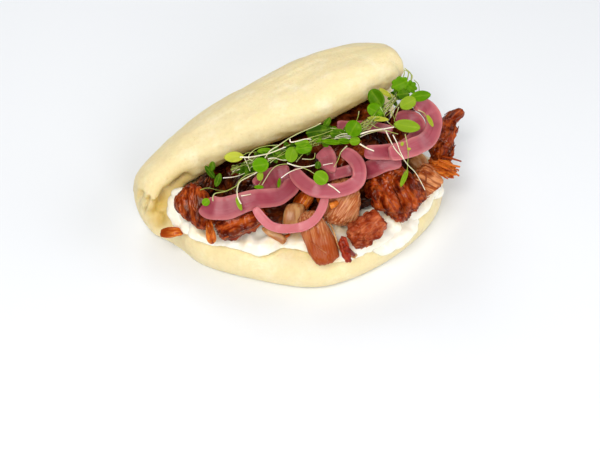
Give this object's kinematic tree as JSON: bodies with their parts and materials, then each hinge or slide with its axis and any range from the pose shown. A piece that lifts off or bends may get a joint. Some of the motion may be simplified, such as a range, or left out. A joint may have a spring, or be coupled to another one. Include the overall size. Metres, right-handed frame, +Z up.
{
  "type": "filled folded steamed bun",
  "caption": "Folded steamed bun, open at the front, filled with creamy sauce, braised pulled meat, pickled onion strips and sprouts; rests on its flat underside",
  "frame": {"origin": "centre of the flat underside that it rests on", "axes": "+X along the fold, from the closed left corner to the open right end; the mouth faces -Y; +Z up"},
  "size_m": [0.1319, 0.0899, 0.0561],
  "materials": {
    "steamed_dough": "soft satin, pale cream yellow",
    "creamy_sauce": "glossy",
    "braised_meat": "wet, fibrous",
    "meat_fat": "wet",
    "pickled_onion": "wet, slightly see-through",
    "sprouts": "satin"
  },
  "bodies": {
    "root": {"bun": "steamed_dough", "sauce": "creamy_sauce", "chunk_front_slab": "braised_meat", "chunk_crumbly": "braised_meat", "shred_front": "braised_meat", "chunk_big": "braised_meat", "chunk_curled": "braised_meat", "chunk_left": "braised_meat", "chunk_low_left": "braised_meat", "chunk_left_shred": "braised_meat", "flake_left": "braised_meat", "chunk_slab": "braised_meat", "chunk_small_upper": "braised_meat", "chunk_small_right": "braised_meat", "chunk_shreds": "braised_meat", "chunk_end": "braised_meat", "chunk_end_stick": "braised_meat", "chunk_back_left": "braised_meat", "chunk_back_middle": "braised_meat", "chunk_back_right": "braised_meat", "chunk_lid_left": "braised_meat", "meat_bed": "braised_meat", "fat_strip": "meat_fat", "fat_middle": "meat_fat", "fat_right": "meat_fat", "onion_under": "pickled_onion", "onion_inner_wall": "pickled_onion", "onion_left_back": "pickled_onion", "onion_left": "pickled_onion", "onion_ring_thin": "pickled_onion", "onion_ring_middle": "pickled_onion", "onion_short": "pickled_onion", "onion_right_inner": "pickled_onion", "onion_right_outer": "pickled_onion", "onion_lid": "pickled_onion", "sprouts": "sprouts"}
  },
  "joints": []
}
